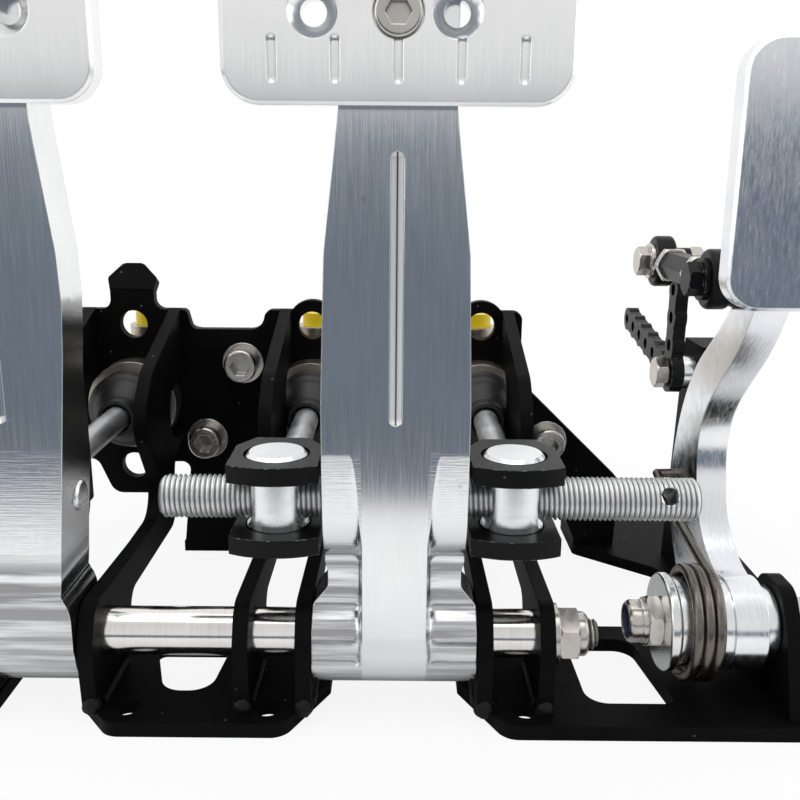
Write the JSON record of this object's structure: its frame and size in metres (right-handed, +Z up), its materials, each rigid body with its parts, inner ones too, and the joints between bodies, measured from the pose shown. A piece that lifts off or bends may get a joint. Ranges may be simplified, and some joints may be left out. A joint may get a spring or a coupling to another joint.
{
  "type": "pedal box",
  "caption": "Floor-mounted pedal box with clutch, brake and throttle pedals, a threaded balance bar and rear master cylinders on welded plates.",
  "frame": {"origin": "under the middle of the whole box, on the floor plane; the brake pedal's centre plane is X = 0", "axes": "+X to the driver's right, +Y forward from the driver to the bulkhead, +Z up"},
  "size_m": [0.2565, 0.2148, 0.2292],
  "materials": {
    "billet": "brushed",
    "pad_plate": "satin",
    "throttle_billet": "machined",
    "powder_coat": "satin",
    "clevis_black": "satin",
    "zinc_thread": "satin",
    "zinc": "satin",
    "stainless": "satin",
    "polished_steel": "polished",
    "bearing_steel": "satin",
    "bronze": "satin",
    "cast_body": "satin",
    "rubber": "matte",
    "plug_yellow": "gloss",
    "spring_steel": "satin",
    "cup_alloy": "machined"
  },
  "bodies": {
    "chassis": {"bulkhead": "powder_coat", "rear_foot_plate": "powder_coat", "left_base_plate": "powder_coat", "right_base_plate": "powder_coat", "clutch_base_plate": "powder_coat", "clutch_left_plate": "powder_coat", "clutch_right_plate": "powder_coat", "brake_left_plate": "powder_coat", "brake_left_lug": "powder_coat", "brake_right_lug": "powder_coat", "brake_right_plate": "powder_coat", "throttle_lug": "powder_coat", "crank_bracket": "powder_coat", "pivot_shaft": "polished_steel", "shaft_nuts": "stainless", "shaft_washers": "stainless", "throttle_pivot_bolt": "stainless", "throttle_pivot_nut": "stainless", "spring_cup": "cup_alloy", "throttle_spring": "spring_steel", "clutch_cylinder": "cast_body", "left_cylinder": "cast_body", "right_cylinder": "cast_body", "cylinder_bolts": "stainless", "cylinder_washers": "stainless", "cylinder_nuts": "stainless", "inlet_plugs": "plug_yellow", "dust_boots": "rubber", "cylinder_springs": "spring_steel", "crank_pivot_bolt": "zinc", "crank_spacer": "zinc"},
    "brake_pedal": {"brake_arm": "billet", "brake_pad": "pad_plate", "brake_pad_screws": "stainless", "brake_bushes": "bronze"},
    "bearing_shell": {"bar_sleeve": "bearing_steel"},
    "bar": {"balance_bar": "zinc_thread", "bearing_ball": "bearing_steel", "left_trunnion": "zinc", "right_trunnion": "zinc"},
    "left_rod": {"left_clevis": "clevis_black", "left_pushrod": "zinc"},
    "right_rod": {"right_clevis": "clevis_black", "right_pushrod": "zinc"},
    "left_piston_body": {"left_piston": "bearing_steel"},
    "right_piston_body": {"right_piston": "bearing_steel"},
    "clutch_pedal": {"clutch_arm": "billet", "clutch_pad": "pad_plate", "clutch_pad_screws": "stainless", "clutch_bushes": "bronze", "clutch_pin": "zinc"},
    "clutch_rod": {"clutch_pushrod": "zinc"},
    "clutch_piston_body": {"clutch_piston": "bearing_steel"},
    "throttle_pedal": {"throttle_arm": "throttle_billet", "front_link_bolt": "zinc"},
    "drag_link": {"link_rod_ends": "clevis_black", "link_bar": "clevis_black", "link_nuts": "zinc"},
    "crank": {"bell_crank": "clevis_black", "rear_link_bolt": "zinc"}
  },
  "joints": [
    {"name": "brake_pedal_pivot", "type": "hinge", "parent": "chassis", "child": "brake_pedal", "pos_m": [0, -0.088, 0.021], "axis": [-1, 0, 0], "range_deg": [0, 18], "stiffness_Nm_per_rad": 6, "springref_deg": -5.73, "deforming": ["dust_boots", "cylinder_springs"]},
    {"name": "bar_bearing_turn", "type": "hinge", "parent": "brake_pedal", "child": "bearing_shell", "pos_m": [0, -0.088, 0.059], "axis": [-1, 0, 0], "range_deg": [-18.83, 0]},
    {"name": "bar_swing", "type": "hinge", "parent": "bearing_shell", "child": "bar", "pos_m": [0, -0.088, 0.059], "axis": [0, 0, 1], "range_deg": [-1, 1]},
    {"name": "left_clevis_turn", "type": "hinge", "parent": "bar", "child": "left_rod", "pos_m": [-0.03, -0.088, 0.059], "axis": [0, 0, 1], "range_deg": [-1, 1]},
    {"name": "right_clevis_turn", "type": "hinge", "parent": "bar", "child": "right_rod", "pos_m": [0.03, -0.088, 0.059], "axis": [0, 0, 1], "range_deg": [-1, 1]},
    {"name": "left_piston_slide", "type": "slide", "parent": "chassis", "child": "left_piston_body", "axis": [0, 1, 0], "range_m": [0, 0.0118]},
    {"name": "right_piston_slide", "type": "slide", "parent": "chassis", "child": "right_piston_body", "axis": [0, 1, 0], "range_m": [0, 0.0118]},
    {"name": "clutch_pedal_pivot", "type": "hinge", "parent": "chassis", "child": "clutch_pedal", "pos_m": [-0.0935, -0.088, 0.021], "axis": [-1, 0, 0], "range_deg": [0, 18], "stiffness_Nm_per_rad": 4, "springref_deg": -5.73},
    {"name": "clutch_rod_turn", "type": "hinge", "parent": "clutch_pedal", "child": "clutch_rod", "pos_m": [-0.0935, -0.088, 0.059], "axis": [-1, 0, 0], "range_deg": [-18.83, 0]},
    {"name": "clutch_piston_slide", "type": "slide", "parent": "chassis", "child": "clutch_piston_body", "axis": [0, 1, 0], "range_m": [0, 0.0118]},
    {"name": "throttle_pedal_pivot", "type": "hinge", "parent": "chassis", "child": "throttle_pedal", "pos_m": [0.092, -0.082, 0.0217], "axis": [-1, 0, 0], "range_deg": [0, 12], "stiffness_Nm_per_rad": 1.2, "springref_deg": -17.19, "deforming": ["throttle_spring"]},
    {"name": "drag_link_turn", "type": "hinge", "parent": "throttle_pedal", "child": "drag_link", "pos_m": [0.085, -0.064, 0.1125], "axis": [-1, 0, 0], "range_deg": [-13.45, 0]},
    {"name": "bell_crank_pivot", "type": "hinge", "parent": "chassis", "child": "crank", "pos_m": [0.092, -0.013, 0.076], "axis": [-1, 0, 0], "range_deg": [0, 30.13]}
  ],
  "couplings": [
    {"joint": "bar_bearing_turn", "follows": "brake_pedal_pivot", "ratio": -1.0458},
    {"joint": "left_clevis_turn", "follows": "bar_swing", "ratio": -1},
    {"joint": "right_clevis_turn", "follows": "bar_swing", "ratio": -1},
    {"joint": "left_piston_slide", "follows": "brake_pedal_pivot", "m_per_rad": 0.0375},
    {"joint": "right_piston_slide", "follows": "brake_pedal_pivot", "m_per_rad": 0.0375},
    {"joint": "clutch_rod_turn", "follows": "clutch_pedal_pivot", "ratio": -1.0458},
    {"joint": "clutch_piston_slide", "follows": "clutch_pedal_pivot", "m_per_rad": 0.0375},
    {"joint": "drag_link_turn", "follows": "throttle_pedal_pivot", "ratio": -1.12},
    {"joint": "bell_crank_pivot", "follows": "throttle_pedal_pivot", "ratio": 2.51}
  ]
}
